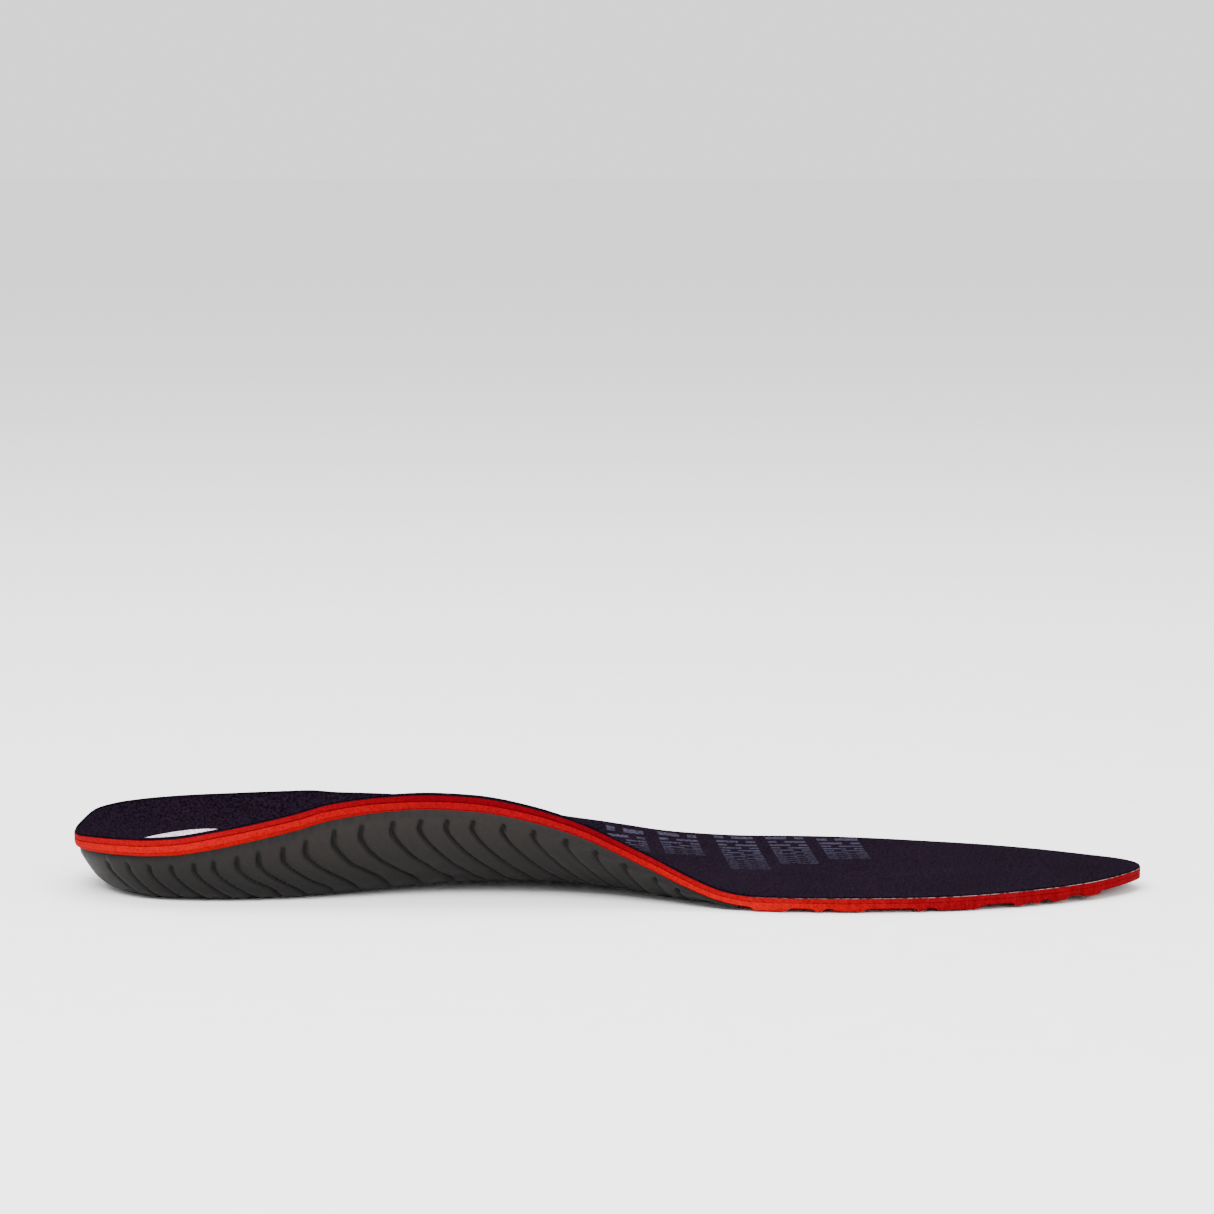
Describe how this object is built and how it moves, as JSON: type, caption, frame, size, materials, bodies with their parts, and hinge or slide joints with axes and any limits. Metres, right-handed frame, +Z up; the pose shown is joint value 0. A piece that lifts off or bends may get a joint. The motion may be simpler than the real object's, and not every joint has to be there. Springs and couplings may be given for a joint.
{
  "type": "cushioned insole",
  "caption": "Left-foot cushioned insole: knit-covered foam layers over a ribbed heel and arch cradle, with a moulded tread under a forefoot that flexes.",
  "frame": {"origin": "centre of the bounding box in plan, on the plane that the insole stands on", "axes": "+X towards the toe, -Y towards the inner (arch) side, +Z up"},
  "size_m": [0.2851, 0.094, 0.0293],
  "materials": {
    "cover_knit": "fine knit, matt",
    "upper_foam": "cut foam edge, matt",
    "lower_foam": "moulded foam, satin",
    "cradle": "moulded, satin, fine grain",
    "plate": "moulded, smooth",
    "gel": "soft gel, gloss"
  },
  "bodies": {
    "rearfoot": {"top_cover_rear": "cover_knit", "upper_foam_rear": "upper_foam", "lower_foam_rear": "lower_foam", "support_cradle": "cradle", "arch_plate": "plate", "heel_gel_pad": "gel"},
    "forefoot": {"top_cover_front": "cover_knit", "upper_foam_front": "upper_foam", "lower_foam_front": "lower_foam", "ball_gel_pad": "gel"}
  },
  "joints": [
    {"name": "toe_flex", "type": "hinge", "parent": "rearfoot", "child": "forefoot", "pos_m": [0.0555, 0, 0.0041], "axis": [0, -1, 0], "range_deg": [0, 40], "stiffness_Nm_per_rad": 0.2}
  ]
}
